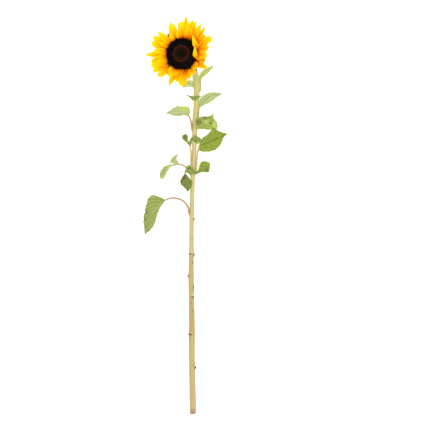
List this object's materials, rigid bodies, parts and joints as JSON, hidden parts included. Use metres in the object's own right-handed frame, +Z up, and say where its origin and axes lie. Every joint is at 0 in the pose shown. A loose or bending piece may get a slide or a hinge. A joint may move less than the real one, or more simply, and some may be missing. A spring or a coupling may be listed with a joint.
{
  "type": "cut sunflower stem",
  "caption": "Cut sunflower lying on its back: a long straw-coloured stem with a clean cut foot, wilting leaves on its upper half, and a bloom of yellow petals round a dark disc.",
  "frame": {"origin": "on the surface that the plant lies on, under the middle of its outer box", "axes": "+Y from the cut end towards the bloom, +Z up from the surface, +X to the right"},
  "size_m": [0.1474, 0.6972, 0.0885],
  "materials": {
    "stem": "matte straw-coloured skin with darker streaks and short hairs",
    "leaf_stalk": "matte, flushed red on one side",
    "leaf": "matte crinkled green with lighter veins",
    "leaf_underside": "matte pale green with raised veins",
    "petal": "satin yellow, orange at the root",
    "calyx": "matte hairy green",
    "outer_florets": "matte near-black florets",
    "ring_florets": "matte brown florets",
    "heart_florets": "matte dark closed florets"
  },
  "bodies": {
    "root": {"stem": "stem", "leaf_stalk_05": "leaf_stalk", "leaf_stalk_07": "leaf_stalk", "leaf_stalk_08": "leaf_stalk", "leaf_stalk_09": "leaf_stalk", "leaf_stalk_12": "leaf_stalk", "leaf_stalk_13": "leaf_stalk", "leaf_01": "leaf_underside", "leaf_02": "leaf_underside", "leaf_03": "leaf", "leaf_04": "leaf_underside", "leaf_05": "leaf_underside", "leaf_06": "leaf", "leaf_07": "leaf", "leaf_07_curl": "leaf", "leaf_08": "leaf", "leaf_09": "leaf_underside", "leaf_09_wing": "leaf_underside", "leaf_10": "leaf", "leaf_11": "leaf", "leaf_12": "leaf", "leaf_13": "leaf", "calyx": "calyx", "disc_outer_florets": "outer_florets", "disc_ring_florets": "ring_florets", "disc_heart_florets": "heart_florets", "petal_01": "petal", "petal_02": "petal", "petal_03": "petal", "petal_04": "petal", "petal_05": "petal", "petal_06": "petal", "petal_07": "petal", "petal_08": "petal", "petal_09": "petal", "petal_10": "petal", "petal_11": "petal", "petal_12": "petal", "petal_13": "petal", "petal_14": "petal", "petal_15": "petal", "petal_16": "petal", "petal_17": "petal", "petal_18": "petal", "petal_19": "petal", "petal_20": "petal", "petal_21": "petal", "petal_22": "petal", "petal_23": "petal", "petal_24": "petal", "petal_25": "petal", "petal_26": "petal", "petal_27": "petal", "petal_28": "petal", "petal_29": "petal", "petal_30": "petal", "petal_31": "petal", "petal_32": "petal", "petal_33": "petal", "petal_34": "petal"}
  },
  "joints": []
}
